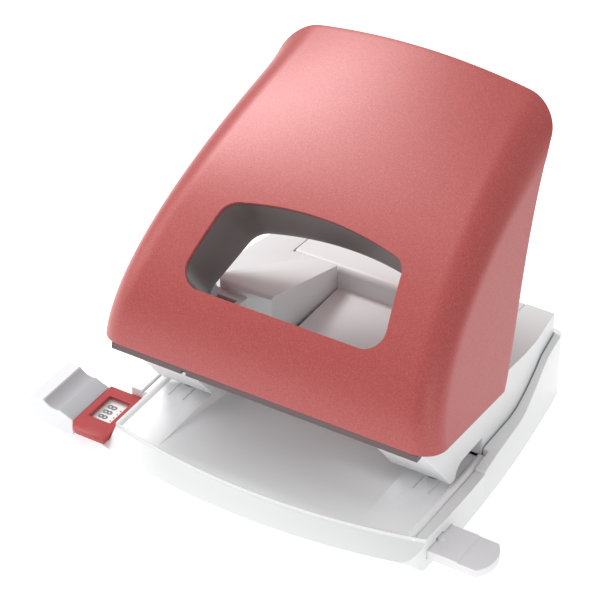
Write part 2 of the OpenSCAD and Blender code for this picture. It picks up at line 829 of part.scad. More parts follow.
base_front_shell();
base_rear_shell();
paper_table();
die_plate(-1);  // die_plate_left
die_plate(1);  // die_plate_right
side_cover(-1);  // side_cover_left
side_cover(1);  // side_cover_right
rear_cover();
punch_frame(-1);  // punch_frame_left
punch_frame(1);  // punch_frame_right
pin_guide(-1);  // pin_guide_left
pin_guide(1);  // pin_guide_right
pivot_pin(-1);  // pivot_pin_left
pivot_pin(1);  // pivot_pin_right
pivot_clips();
frame_screws();
format_frame();
format_lens();
rail_detent();
tray_hinge_rod();
rubber_feet();
lever_shell();
window_collar();
lever_lip_strip();
lever_bracket();
press_roller(-1);  // press_roller_left
press_roller(1);  // press_roller_right
roller_pins();
lever_spacers();
lever_screws();
punch_pin(-1);  // punch_pin_left
punch_pin(1);  // punch_pin_right
pin_washer(-1);  // pin_washer_left
pin_washer(1);  // pin_washer_right
return_spring(-1);  // return_spring_left
return_spring(1);  // return_spring_right
guide_rail();
stop_flap();
format_label();
rail_end_pip();
chip_tray();
tray_latch();
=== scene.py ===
"""Looks of a two-hole desk punch: smooth shells, finishes, small marks and a plain studio."""

import logging
import math
from dataclasses import dataclass
from enum import Enum
from typing import Any, Sequence

import bmesh
import bpy
import numpy as np
from mathutils import Matrix, Vector
from mathutils.bvhtree import BVHTree


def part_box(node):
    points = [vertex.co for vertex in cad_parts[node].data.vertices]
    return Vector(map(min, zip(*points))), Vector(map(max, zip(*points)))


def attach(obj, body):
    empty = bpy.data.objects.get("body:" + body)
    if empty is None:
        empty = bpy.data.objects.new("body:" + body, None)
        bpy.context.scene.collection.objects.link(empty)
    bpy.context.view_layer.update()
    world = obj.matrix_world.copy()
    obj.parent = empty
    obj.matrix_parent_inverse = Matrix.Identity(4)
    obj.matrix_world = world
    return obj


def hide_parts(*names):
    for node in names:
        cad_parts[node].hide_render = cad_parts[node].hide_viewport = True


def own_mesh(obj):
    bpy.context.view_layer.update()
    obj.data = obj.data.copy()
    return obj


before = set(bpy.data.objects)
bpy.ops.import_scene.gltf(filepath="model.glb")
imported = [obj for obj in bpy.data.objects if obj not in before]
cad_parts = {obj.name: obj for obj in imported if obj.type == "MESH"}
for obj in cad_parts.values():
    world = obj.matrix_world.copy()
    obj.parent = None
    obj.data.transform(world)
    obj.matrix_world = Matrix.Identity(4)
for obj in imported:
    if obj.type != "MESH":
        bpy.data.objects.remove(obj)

LOG = logging.getLogger("punch")
MM = 0.001
PLASTIC_IOR = 1.48
GRAIN_SCALE = 3200.0
GRAIN_DEPTH = 0.00006

Colour = tuple[float, float, float]


def linear(red: int, green: int, blue: int) -> Colour:
    """A display colour, 0 to 255 a channel, as linear values."""
    shares = [c / 255 for c in (red, green, blue)]
    return tuple(c / 12.92 if c <= 0.04045 else ((c + 0.055) / 1.055) ** 2.4 for c in shares)


class Side(Enum):
    """Left or right half of the punch."""

    LEFT = -1
    RIGHT = 1

    @property
    def word(self) -> str:
        """The side's name as the nodes spell it."""
        return self.name.lower()


# ---- shader tools ----


class Wire:
    """A shader socket that adds Math nodes when it is used in an expression."""

    def __init__(self, tree: bpy.types.NodeTree, socket: bpy.types.NodeSocket) -> None:
        """Wraps one output socket of a tree."""
        self.tree = tree
        self.socket = socket

    def _math(self, operation: str, first: Any, second: Any) -> "Wire":
        """Adds one Math node.

        Args:
            operation: the Math node's operation.
            first: a wire or a number.
            second: a wire or a number.

        Returns:
            The node's result.
        """
        node = self.tree.nodes.new("ShaderNodeMath")
        node.operation = operation
        for index, value in enumerate((first, second)):
            if isinstance(value, Wire):
                self.tree.links.new(value.socket, node.inputs[index])
            else:
                node.inputs[index].default_value = value
        return Wire(self.tree, node.outputs[0])

    def __add__(self, other: Any) -> "Wire":
        """Sum."""
        return self._math("ADD", self, other)

    def __radd__(self, other: Any) -> "Wire":
        """Sum with the number first."""
        return self._math("ADD", other, self)

    def __sub__(self, other: Any) -> "Wire":
        """Difference."""
        return self._math("SUBTRACT", self, other)

    def __rsub__(self, other: Any) -> "Wire":
        """Difference with the number first."""
        return self._math("SUBTRACT", other, self)

    def __mul__(self, other: Any) -> "Wire":
        """Product."""
        return self._math("MULTIPLY", self, other)

    def __rmul__(self, other: Any) -> "Wire":
        """Product with the number first."""
        return self._math("MULTIPLY", other, self)

    def limited(self, slope: float) -> "Wire":
        """This value times a slope, kept between 0 and 1."""
        result = self._math("MULTIPLY", self, slope)
        result.socket.node.use_clamp = True
        return result


class Shader:
    """A material's node tree with one Principled shader."""

    def __init__(self, name: str) -> None:
        """Makes the material and clears its tree."""
        self.material = bpy.data.materials.new(name)
        self.material.use_nodes = True
        self.tree = self.material.node_tree
        self.tree.nodes.clear()
        self.skin = self.node("ShaderNodeBsdfPrincipled")
        out = self.node("ShaderNodeOutputMaterial")
        self.tree.links.new(self.skin.outputs[0], out.inputs[0])
        self.place = self.node("ShaderNodeTexCoord").outputs["Object"]

    def node(
        self, kind: str, settings: dict[str, Any] | None = None, values: dict[str, Any] | None = None
    ) -> Any:
        """Adds a node: its settings first, then the values or links of its sockets.

        Args:
            kind: the node's type.
            settings: properties of the node.
            values: a number, colour, wire or socket for each named input.

        Returns:
            The node.
        """
        made = self.tree.nodes.new(kind)
        for key, value in (settings or {}).items():
            setattr(made, key, value)
        for key, value in (values or {}).items():
            self.feed(made.inputs[key], value)
        return made

    def feed(self, socket: Any, value: Any) -> None:
        """Sets a socket to a number or colour, or links a wire or socket to it."""
        if isinstance(value, Wire):
            self.tree.links.new(value.socket, socket)
        elif isinstance(value, bpy.types.NodeSocket):
            self.tree.links.new(value, socket)
        elif isinstance(value, tuple) and len(value) == 3 and socket.type == "RGBA":
            socket.default_value = (*value, 1.0)
        else:
            socket.default_value = value

    def surface(self, **values: Any) -> None:
        """Sets inputs of the Principled shader; an underscore in a name stands for a space."""
        for key, value in values.items():
            self.feed(self.skin.inputs[key.replace("_", " ")], value)

    def noise(self, scale: float, detail: float = 2.0, roughness: float = 0.5) -> Wire:
        """Noise on the piece's own place, from 0 to 1."""
        values = {"Vector": self.place, "Scale": scale, "Detail": detail, "Roughness": roughness}
        made = self.node("ShaderNodeTexNoise", None, values)
        return Wire(self.tree, made.outputs["Fac"])

    def speckle(self, scale: float) -> Wire:
        """A random value for each small cell."""
        made = self.node("ShaderNodeTexVoronoi", None, {"Vector": self.place, "Scale": scale})
        split = self.node("ShaderNodeSeparateColor", None, {"Color": made.outputs["Color"]})
        return Wire(self.tree, split.outputs[0])

    def mix(self, share: Wire, first: Colour, second: Colour) -> Any:
        """Blends two colours by a wire.

        Args:
            share: 0 gives the first colour and 1 the second.
            first: a linear colour.
            second: a linear colour.

        Returns:
            The colour socket.
        """
        made = self.node("ShaderNodeMix", {"data_type": "RGBA"})
        self.feed(made.inputs["Factor"], share)
        self.feed(made.inputs[6], first)
        self.feed(made.inputs[7], second)
        return made.outputs[2]

    def bump(self, height: Wire, strength: float, depth: float) -> Any:
        """A Bump node's normal for a height wire."""
        values = {"Strength": strength, "Distance": depth, "Height": height}
        made = self.node("ShaderNodeBump", None, values)
        return made.outputs[0]


def shade(colour: Colour, factor: float) -> Colour:
    """A colour made lighter or darker."""
    return tuple(min(1.0, c * factor) for c in colour)


@dataclass(frozen=True)
class MouldedPlastic:
    """Satin moulded plastic with a fine spark grain and slight unevenness."""

    slot: str
    colour: Colour
    roughness: float = 0.42
    grain: float = 0.12
    unevenness: float = 0.03
    cloud_scale: float = 45.0

    def make(self) -> bpy.types.Material:
        """Builds the material."""
        made = Shader(self.slot)
        cloud = made.noise(self.cloud_scale, 3.0)
        fine = made.noise(GRAIN_SCALE, 3.0, 0.6)
        low, high = (shade(self.colour, 1 + change) for change in (-self.unevenness, self.unevenness))
        rough = self.roughness - 0.05 + cloud * 0.1 + (fine - 0.5) * 0.08
        made.surface(Base_Color=made.mix(cloud * 0.7 + fine * 0.3, low, high), Roughness=rough)
        made.surface(IOR=PLASTIC_IOR, Normal=made.bump(fine, self.grain, GRAIN_DEPTH))
        return made.material


@dataclass(frozen=True)
class ShadedRampPlastic:
    """Satin plastic with painted shade: the hollowed face is painted a darker grey than the outer rim, for
    the shade on that face, which turns away from the light.
    """

    slot: str
    rim: Colour
    # The grey of the painted shade on the hollowed face.
    ramp: Colour
    ramp_from: float = 0.0704
    ramp_behind: float = 0.0012
    fade: float = 1600.0
    fade_behind: float = 4000.0

    def make(self) -> bpy.types.Material:
        """Builds the material."""
        made = Shader(self.slot)
        split = made.node("ShaderNodeSeparateXYZ", None, {"Vector": made.place})
        across = Wire(made.tree, split.outputs[0])
        side = Wire(made.tree, split.outputs[1])
        fine = made.noise(GRAIN_SCALE, 3.0, 0.6)
        # Painted shade: the darker grey goes inward of ramp_from and toward the back from ramp_behind,
        # softened by the fades.
        inner = (across + self.ramp_from).limited(self.fade)
        shade_back = (side - self.ramp_behind).limited(self.fade_behind)
        made.surface(Base_Color=made.mix(inner * shade_back * (0.9 + fine * 0.1), self.rim, self.ramp))
        made.surface(Roughness=0.36 + fine * 0.08, IOR=PLASTIC_IOR, Normal=made.bump(fine, 0.1, GRAIN_DEPTH))
        return made.material


@dataclass(frozen=True)
class MetallicLacquer:
    """Red lacquer with fine metal flakes and a thin clear coat."""

    slot: str
    colour: Colour
    flake: Colour
    roughness: float = 0.44
    flake_scale: float = 5200.0
    coat: float = 0.45

    def make(self) -> bpy.types.Material:
        """Builds the material."""
        made = Shader(self.slot)
        flakes = made.speckle(self.flake_scale)
        drift = made.noise(30.0, 2.0)
        fine = made.noise(2600.0, 3.0, 0.65)
        share = flakes * flakes * 0.2 + fine * 0.12
        made.surface(Base_Color=made.mix(share, self.colour, self.flake), Metallic=0.04 + flakes * 0.12)
        made.surface(Roughness=self.roughness - 0.04 + drift * 0.08 + (fine - 0.5) * 0.12)
        made.surface(IOR=1.5, Coat_Weight=self.coat, Coat_Roughness=0.36)
        made.surface(Normal=made.bump(fine + flakes * 0.5, 0.16, 0.00005))
        return made.material


@dataclass(frozen=True)
class BareMetal:
    """Turned or rolled metal with fine lines across the part."""

    slot: str
    colour: Colour
    roughness: float = 0.32
    line_scale: float = 2400.0

    def make(self) -> bpy.types.Material:
        """Builds the material."""
        made = Shader(self.slot)
        stretch = made.node("ShaderNodeMapping", None, {"Vector": made.place, "Scale": (1.0, 0.06, 1.0)})
        values = {"Vector": stretch.outputs[0], "Scale": self.line_scale, "Detail": 3.0}
        lines = made.node("ShaderNodeTexNoise", None, values)
        line = Wire(made.tree, lines.outputs["Fac"])
        cloud = made.noise(120.0, 3.0)
        dull, bright = shade(self.colour, 0.88), shade(self.colour, 1.06)
        made.surface(Base_Color=made.mix(cloud, dull, bright), Metallic=1.0)
        made.surface(Roughness=self.roughness - 0.06 + line * 0.14, Normal=made.bump(line, 0.12, 0.00003))
        return made.material


@dataclass(frozen=True)
class Rubber:
    """Matte rubber with a dusty bloom."""

    slot: str
    colour: Colour

    def make(self) -> bpy.types.Material:
        """Builds the material."""
        made = Shader(self.slot)
        fine = made.noise(900.0, 4.0)
        made.surface(Base_Color=made.mix(fine, shade(self.colour, 0.8), shade(self.colour, 1.5)))
        made.surface(Roughness=0.72 + fine * 0.2, Normal=made.bump(fine, 0.3, 0.0001))
        return made.material


@dataclass(frozen=True)
class ClearPlastic:
    """Thin clear window."""

    slot: str

    def make(self) -> bpy.types.Material:
        """Builds the material."""
        made = Shader(self.slot)
        haze = made.noise(200.0, 2.0)
        made.surface(Base_Color=(0.96, 0.98, 1.0), Roughness=0.05 + haze * 0.04)
        made.surface(IOR=1.47, Alpha=0.1 + haze * 0.03)
        return made.material


@dataclass(frozen=True)
class PrintedFilm:
    """Smooth printed film or its ink."""

    slot: str
    colour: Colour
    roughness: float = 0.35

    def make(self) -> bpy.types.Material:
        """Builds the material."""
        made = Shader(self.slot)
        fibre = made.noise(1500.0, 3.0)
        made.surface(Base_Color=made.mix(fibre, shade(self.colour, 0.96), self.colour))
        made.surface(Roughness=self.roughness + fibre * 0.06, Normal=made.bump(fibre, 0.04, 0.00004))
        return made.material


class Paintbox:
    """Every finish of the punch, made once and handed out by slot name."""

    def __init__(self) -> None:
        """Makes the finishes."""
        red = linear(156, 46, 45)
        finishes = [
            MouldedPlastic("shell_plastic", linear(232, 233, 233), roughness=0.4),
            # The paper table is white plastic, set lighter than the other plastics as painted light that
            # lifts the shade of the lever over it.
            MouldedPlastic("table_plastic", linear(250, 250, 251), roughness=0.38),
            MouldedPlastic("cover_plastic", linear(222, 223, 224), roughness=0.4),
            MouldedPlastic("rail_plastic", linear(236, 236, 238), roughness=0.38),
            # The stop flap's plastic, with painted shade on its hollowed face.
            ShadedRampPlastic("rail_plastic", linear(226, 227, 229), linear(168, 168, 172)),
            MouldedPlastic("tray_plastic", linear(196, 197, 199), roughness=0.5),
            # The collar is dark grey plastic; its reddish tint is a painted reflection of the red shell
            # round it.
            MouldedPlastic("collar_plastic", linear(104, 92, 92), roughness=0.42),
            MouldedPlastic("lip_plastic", linear(96, 78, 82), roughness=0.45),
            MouldedPlastic("red_plastic", linear(170, 56, 58), roughness=0.34),
            MetallicLacquer("red_metallic", red, linear(226, 138, 132)),
            BareMetal("plain_steel", linear(190, 192, 196)),
            BareMetal("pin_steel", linear(204, 206, 210), roughness=0.22),
            BareMetal("bush_brass", linear(214, 184, 112), roughness=0.28),
            Rubber("foot_rubber", linear(40, 40, 42)),
            ClearPlastic("clear_plastic"),
            PrintedFilm("label_white", linear(246, 246, 244)),
            PrintedFilm("label_ink", linear(26, 26, 30), roughness=0.5),
        ]
        self.materials = {}
        for finish in finishes:
            name = "flap_plastic" if isinstance(finish, ShadedRampPlastic) else finish.slot
            self.materials[name] = finish.make()

    def __getitem__(self, slot: str) -> bpy.types.Material:
        """The material of a slot."""
        return self.materials[slot]


# ---- mesh tools ----


def new_object(name: str, mesh: bpy.types.Mesh) -> bpy.types.Object:
    """Links a mesh into the scene as an object at the origin."""
    made = bpy.data.objects.new(name, mesh)
    bpy.context.scene.collection.objects.link(made)
    return made


def mesh_from(
    name: str, points: Sequence[Any], faces: Sequence[Sequence[int]], smooth: bool = True
) -> bpy.types.Mesh:
    """Builds a mesh.

    Args:
        name: the mesh's name.
        points: its vertices in metres.
        faces: vertex numbers, outward.
        smooth: whether its faces are shaded smooth.

    Returns:
        The mesh.
    """
    mesh = bpy.data.meshes.new(name)
    mesh.from_pydata([tuple(map(float, p)) for p in points], [], [list(f) for f in faces])
    mesh.polygons.foreach_set("use_smooth", [smooth] * len(mesh.polygons))
    mesh.update()
    return mesh


def prism_faces(sides: int) -> list[Sequence[int]]:
    """The faces of a prism whose lower outline comes first and its upper outline next."""
    faces = [list(range(sides - 1, -1, -1)), list(range(sides, 2 * sides))]
    for k in range(sides):
        n = (k + 1) % sides
        faces.append((k, n, sides + n, sides + k))
    return faces


def bake_modifiers(piece: bpy.types.Object) -> None:
    """Replaces a piece's mesh by its evaluated result and removes its modifiers."""
    bpy.context.view_layer.update()
    depsgraph = bpy.context.evaluated_depsgraph_get()
    mesh = bpy.data.meshes.new_from_object(piece.evaluated_get(depsgraph), depsgraph=depsgraph)
    piece.modifiers.clear()
    piece.data = mesh


def dress(piece: bpy.types.Object, material: bpy.types.Material) -> None:
    """Gives a piece one material."""
    piece.data.materials.clear()
    piece.data.materials.append(material)


def round_edges(piece: bpy.types.Object, width: float, angle: float = 35.0) -> None:
    """Rounds the hard edges of a piece.

    Args:
        piece: the piece.
        width: the rounding in metres; 0 leaves the edges sharp.
        angle: edges sharper than this many degrees are rounded.
    """
    if width <= 0:
        piece.data.set_sharp_from_angle(angle=math.radians(angle))
        return
    bevel = piece.modifiers.new("round", "BEVEL")
    bevel.width = width
    bevel.segments = 3
    bevel.limit_method = "ANGLE"
    bevel.angle_limit = math.radians(angle)
    bevel.harden_normals = False
    bevel.use_clamp_overlap = True
    bake_modifiers(piece)
    piece.data.polygons.foreach_set("use_smooth", [True] * len(piece.data.polygons))
    piece.data.set_sharp_from_angle(angle=math.radians(38))


def surface_area(mesh: bpy.types.Mesh) -> float:
    """The area of a mesh as it is drawn, from its triangles."""
    mesh.calc_loop_triangles()
    return sum(t.area for t in mesh.loop_triangles)


def closed(mesh: bpy.types.Mesh) -> bool:
    """Whether every edge of a mesh joins two faces."""
    uses = np.zeros(len(mesh.edges), int)
    sides = np.zeros(len(mesh.loops), int)
    mesh.loops.foreach_get("edge_index", sides)
    np.add.at(uses, sides, 1)
    return bool((uses == 2).all())


@dataclass
class RoundedCopy:
    """A moulded piece that follows its CAD node, with softly rounded edges."""

    node: str
    body: str
    slot: str
    edge: float = 0.4
    merge: float = 0.00002
    tolerance: float = 0.025

    def build(self) -> bpy.types.Object:
        """Tries the rounding, then gentler ones, and at last leaves the edges sharp.

        Returns:
            The new piece.
        """
        area = surface_area(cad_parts[self.node].data)
        tries = ((self.edge, 1.2), (self.edge, 0.2), (self.edge / 2, 0.2), (0.0, 0.0))
        for edge, flatten in tries:
            piece = self.rounded(edge, flatten)
            share = surface_area(piece.data) / area
            if abs(share - 1) < self.tolerance and closed(piece.data):
                break
            LOG.info("%s: area share %.3f with edge %.2f", self.node, share, edge)
            if edge > 0:
                bpy.data.objects.remove(piece)
        return piece

    def rounded(self, edge: float, flatten: float) -> bpy.types.Object:
        """Copies the node's mesh, joins its triangles into faces and rounds the edges.

        Args:
            edge: the rounding in millimetres; 0 leaves the edges sharp.
            flatten: triangles within this many degrees become one face.

        Returns:
            The new piece.
        """
        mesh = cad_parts[self.node].data.copy()
        work = bmesh.new()
        work.from_mesh(mesh)
        bmesh.ops.remove_doubles(work, verts=work.verts, dist=self.merge)
        if flatten > 0:
            bmesh.ops.dissolve_limit(
                work,
                angle_limit=math.radians(flatten),
                verts=work.verts,
                edges=work.edges,
                use_dissolve_boundaries=False,
            )
        work.to_mesh(mesh)
        work.free()
        if "custom_normal" in mesh.attributes:
            mesh.attributes.remove(mesh.attributes["custom_normal"])
        piece = new_object(f"{self.node}_skin", mesh)
        round_edges(piece, edge * MM)
        return piece

    def fit(self, paints: Paintbox) -> bpy.types.Object:
        """Builds, dresses and seats the piece."""
        piece = self.build()
        dress(piece, paints[self.slot])
        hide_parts(self.node)
        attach(piece, self.body)
        LOG.info("%s: %d faces", piece.name, len(piece.data.polygons))
        return piece


# ---- geometry nodes ----


class NodeTool:
    """A Geometry Nodes tree with named inputs that ends in Realize Instances and Set Material."""

    def __init__(self, name: str, inputs: dict[str, tuple[str, Any]]) -> None:
        """Starts a tree.

        Args:
            name: the tree's name.
            inputs: a socket type and default for each named input.
        """
        self.tree = bpy.data.node_groups.new(name, "GeometryNodeTree")
        face = self.tree.interface
        face.new_socket("Geometry", in_out="INPUT", socket_type="NodeSocketGeometry")
        for label, (kind, default) in inputs.items():
            socket = face.new_socket(label, in_out="INPUT", socket_type=kind)
            if default is not None:
                socket.default_value = default
        face.new_socket("Material", in_out="INPUT", socket_type="NodeSocketMaterial")
        face.new_socket("Geometry", in_out="OUTPUT", socket_type="NodeSocketGeometry")
        self.entry = self.tree.nodes.new("NodeGroupInput")
        self.exit = self.tree.nodes.new("NodeGroupOutput")

    def node(
        self, kind: str, settings: dict[str, Any] | None = None, values: dict[Any, Any] | None = None
    ) -> Any:
        """Adds a node: settings first, then values or links by input name or number."""
        made = self.tree.nodes.new(kind)
        for key, value in (settings or {}).items():
            setattr(made, key, value)
        for key, value in (values or {}).items():
            if isinstance(value, bpy.types.NodeSocket):
                self.tree.links.new(value, made.inputs[key])
            else:
                made.inputs[key].default_value = value
        return made

    def given(self, label: str) -> Any:
        """The socket of a named input."""
        return self.entry.outputs[label]

    def close(self, geometry: Any) -> None:
        """Ends the tree: realised instances with the given material."""
        real = self.node("GeometryNodeRealizeInstances", None, {0: geometry})
        finish = {"Geometry": real.outputs[0], "Material": self.given("Material")}
        done = self.node("GeometryNodeSetMaterial", None, finish)
        self.tree.links.new(done.outputs[0], self.exit.inputs[0])

    def run(self, piece: bpy.types.Object, material: bpy.types.Material, **values: Any) -> bpy.types.Object:
        """Runs the tree on a piece and keeps the result as a plain mesh.

        Args:
            piece: the object whose mesh goes in.
            material: the finish.
            **values: a value for each named input; an underscore stands for a space.

        Returns:
            The same object with its new mesh.
        """
        modifier = piece.modifiers.new(self.tree.name, "NODES")
        modifier.node_group = self.tree
        keys = {i.name: i.identifier for i in self.tree.interface.items_tree if i.in_out == "INPUT"}
        modifier[keys["Material"]] = material
        for label, value in values.items():
            modifier[keys[label.replace("_", " ")]] = value
        bake_modifiers(piece)
        return piece


def row_tool() -> NodeTool:
    """A tool that repeats the incoming piece along a straight row."""
    tool = NodeTool(
        "row_of_pieces",
        {"Count": ("NodeSocketInt", 2), "Step": ("NodeSocketVector", (0.001, 0.0, 0.0))},
    )
    spacing = {"Count": tool.given("Count"), "Offset": tool.given("Step")}
    line = tool.node("GeometryNodeMeshLine", {"mode": "OFFSET"}, spacing)
    placing = {"Points": line.outputs[0], "Instance": tool.given("Geometry")}
    copies = tool.node("GeometryNodeInstanceOnPoints", None, placing)
    tool.close(copies.outputs[0])
    return tool


def coil_tool() -> NodeTool:
    """A tool that winds a round wire into a spring."""
    tool = NodeTool(
        "wound_spring",
        {
            "Turns": ("NodeSocketFloat", 4.5),
            "Coil Radius": ("NodeSocketFloat", 0.0035),
            "Height": ("NodeSocketFloat", 0.007),
            "Wire Radius": ("NodeSocketFloat", 0.0003),
            "Place": ("NodeSocketVector", (0.0, 0.0, 0.0)),
        },
    )
    spiral = tool.node(
        "GeometryNodeCurveSpiral",
        None,
        {
            "Resolution": 40,
            "Rotations": tool.given("Turns"),
            "Start Radius": tool.given("Coil Radius"),
            "End Radius": tool.given("Coil Radius"),
            "Height": tool.given("Height"),
        },
    )
    section = {"Resolution": 12, "Radius": tool.given("Wire Radius")}
    ring = tool.node("GeometryNodeCurvePrimitiveCircle", None, section)
    sweep = {"Curve": spiral.outputs[0], "Profile Curve": ring.outputs[0], "Fill Caps": True}
    wire = tool.node("GeometryNodeCurveToMesh", None, sweep)
    shift = {"Geometry": wire.outputs[0], "Translation": tool.given("Place")}
    moved = tool.node("GeometryNodeTransform", None, shift)
    smooth = tool.node("GeometryNodeSetShadeSmooth", None, {"Geometry": moved.outputs[0]})
    tool.close(smooth.outputs[0])
    return tool


def bead_tool() -> NodeTool:
    """A tool that sweeps a round bead along the incoming edges."""
    tool = NodeTool("swept_bead", {"Bead Radius": ("NodeSocketFloat", 0.0007)})
    path = tool.node("GeometryNodeMeshToCurve", None, {0: tool.given("Geometry")})
    section = {"Resolution": 16, "Radius": tool.given("Bead Radius")}
    ring = tool.node("GeometryNodeCurvePrimitiveCircle", None, section)
    sweep = {"Curve": path.outputs[0], "Profile Curve": ring.outputs[0]}
    bead = tool.node("GeometryNodeCurveToMesh", None, sweep)
    smooth = tool.node("GeometryNodeSetShadeSmooth", None, {"Geometry": bead.outputs[0]})
    tool.close(smooth.outputs[0])
    return tool


# ---- lever ----


def bezier(points: Sequence[tuple[float, float]], t: float) -> np.ndarray:
    """A point of a cubic curve in the depth and height plane, in millimetres."""
    a, b, c, d = (np.array(p, float) for p in points)
    return (1 - t) ** 3 * a + 3 * t * (1 - t) ** 2 * b + 3 * t * t * (1 - t) * c + t**3 * d


@dataclass
class Lever:
    """The red lever: a bent shell with rounded long edges, a window and its dark collar."""

    face: tuple = ((5, 38), (5.5, 66), (45, 86), (91, 99.4))
    rim: tuple = ((44, 36.2), (53, 48), (62, 72), (85.3, 92.6))
    half_width: float = 53.6
    taper: float = 0.1875
    taper_from: float = 37.0
    edge_radius: float = 7.0
    bulge: float = 0.6
    height: float = 64.0
    wall: float = 2.4
    crown: float = 4.6
    edge_growth: float = 1.5
    rows: int = 112
    flat_steps: int = 44
    arc_steps: int = 12
    leg_steps: int = 24
    rim_rounding: float = 0.7
    window_at: tuple = (0.0, 13.1, 59.4)
    window_tilt: float = 39.4
    window_half_low: float = 31.2
    window_half_top: float = 28.6
    window_height: float = 26.9
    window_radius: float = 6.0
    window_arch: float = 3.0
    window_reach: float = 0.03
    bead: float = 0.8
    bead_overlap: float = 0.12
    collar_wall: float = 1.5
    collar_inset: float = 0.14
    collar_start: float = 1.3
    collar_back: float = 0.35
    collar_round: float = 0.4
    collar_plane_at: tuple = (0.0, 24.3, 44.5)
    collar_plane_tilt: float = 26.0

    def half(self, z: float) -> float:
        """Half width of the lever at a height."""
        share = (z - self.taper_from) / self.height
        return self.half_width - self.taper * (z - self.taper_from) + self.bulge * 4 * share * (1 - share)

    def row(self, t: float, inset: float) -> list[tuple[float, float, float]]:
        """Half a cross row, from the middle out to the rim.

        Args:
            t: share of the way up the face.
            inset: depth below the outer skin in millimetres.

        Returns:
            Points in millimetres.
        """
        f, r = bezier(self.face, t), bezier(self.rim, t)
        reach = float(np.linalg.norm(r - f))
        d = (r - f) / reach
        radius = self.edge_radius + self.edge_growth * t * t
        edge = radius - inset
        lift = self.crown * t * t
        turn = []
        for a in np.linspace(0, math.pi / 2, self.arc_steps + 1):
            p = f + d * min(radius - edge * math.cos(a), reach)
            x = self.half(p[1]) - radius + edge * math.sin(a)
            turn.append((x, p[0], p[1] + lift * (1 - (x / self.half(p[1])) ** 2)))
        leg = []
        for q in np.linspace(0, 1, self.leg_steps + 1)[1:]:
            p = f + d * (radius + max(reach - radius, 0.3) * q)
            leg.append((self.half(p[1]) - inset, p[0], p[1]))
        top = f + d * inset
        widths = np.linspace(0, turn[0][0], self.flat_steps + 1)[:-1]
        flat = [(x, top[0], top[1] + lift * (1 - (x / self.half(top[1])) ** 2)) for x in widths]
        return flat + turn + leg

    def skin(self, inset: float) -> np.ndarray:
        """The grid of points of one skin, both halves, in metres."""
        rows = []
        for i in range(self.rows + 1):
            half = self.row(i / self.rows, inset)
            rows.append([(-x, y, z) for x, y, z in half[:0:-1]] + half)
        return np.array(rows) * MM

    def form(self, name: str) -> bpy.types.Object:
        """The closed shell without its window."""
        outer, inner = self.skin(0.0), self.skin(self.wall)
        m, n = outer.shape[:2]
        points = np.concatenate([outer.reshape(-1, 3), inner.reshape(-1, 3)])
        base = m * n
        faces = []
        for i in range(m - 1):
            for j in range(n - 1):
                a, b, c, d = i * n + j, i * n + j + 1, (i + 1) * n + j + 1, (i + 1) * n + j
                faces += [(a, b, c, d), (base + a, base + d, base + c, base + b)]
        loop = (
            list(range(n))
            + [i * n + n - 1 for i in range(1, m)]
            + [(m - 1) * n + j for j in range(n - 2, -1, -1)]
            + [i * n for i in range(m - 2, 0, -1)]
        )
        for k, a in enumerate(loop):
            b = loop[(k + 1) % len(loop)]
            faces.append((b, a, base + a, base + b))
        return new_object(name, mesh_from(name, points, faces))

    def window_frame(self) -> tuple[Vector, Vector, Vector, Vector]:
        """Origin, width, height and outward directions of the window's plane, in metres."""
        tilt = math.radians(self.window_tilt)
        up = Vector((0.0, math.cos(tilt), math.sin(tilt)))
        out = Vector((0.0, -math.sin(tilt), math.cos(tilt)))
        return Vector(self.window_at) * MM, Vector((1.0, 0.0, 0.0)), up, out

    def outline(self, grow: float, count: int = 220) -> list[tuple[float, float]]:
        """The window's rounded outline, anticlockwise, with evenly spaced points.

        Args:
            grow: how far outside the window the line runs, in millimetres.
            count: number of points.

        Returns:
            Points across and up the window's plane, in millimetres.
        """
        r, low, top = self.window_radius, self.window_half_low, self.window_half_top
        core = [(-low + r, r), (low - r, r)]
        for q in np.linspace(1, -1, 33):
            core.append(((top - r) * q, self.window_height - r + self.window_arch * (1 - q * q)))
        path = []
        total = len(core)
        for k, point in enumerate(core):
            before, after = np.array(core[k - 1]), np.array(core[(k + 1) % total])
            here = np.array(point)
            into, away = here - before, after - here
            start = math.atan2(into[1], into[0]) - math.pi / 2
            sweep = (math.atan2(away[1], away[0]) - math.pi / 2 - start) % (2 * math.pi)
            for s in np.linspace(0, 1, max(2, int(sweep * 14))):
                a = start + sweep * s
                path.append(here + (r + grow) * np.array([math.cos(a), math.sin(a)]))
        ring = np.array(path + [path[0]])
        gaps = np.linalg.norm(np.diff(ring, axis=0), axis=1)
        along = np.concatenate([[0], np.cumsum(gaps)])
        spots = np.linspace(0, along[-1], count, endpoint=False)
        across, up = (np.interp(spots, along, ring[:, axis]) for axis in (0, 1))
        return list(zip(across.tolist(), up.tolist()))

    def on_plane(self, spot: tuple[float, float], height: float) -> Vector:
        """A point over the window's plane; the spot is in millimetres and the height in metres."""
        origin, across, up, out = self.window_frame()
        return origin + across * spot[0] * MM + up * spot[1] * MM + out * height

    def cut_window(self, shell: bpy.types.Object) -> None:
        """Cuts the window through the shell."""
        spots = self.outline(0.0)
        points = [self.on_plane(s, h) for h in (-self.window_reach, self.window_reach) for s in spots]
        prism = mesh_from("window_cutter", points, prism_faces(len(spots)), smooth=False)
        cutter = new_object("window_cutter", prism)
        cut = shell.modifiers.new("window", "BOOLEAN")
        cut.operation = "DIFFERENCE"
        cut.solver = "EXACT"
        cut.object = cutter
        bake_modifiers(shell)
        bpy.data.objects.remove(cutter)

    def surface_points(self, tree: BVHTree, grow: float) -> list[Vector]:
        """Where the outline, pushed along the window's axis, meets the outer skin."""
        _, _, _, out = self.window_frame()
        above = self.window_reach + 10 * MM
        return [tree.ray_cast(self.on_plane(spot, above), -out)[0] for spot in self.outline(grow)]

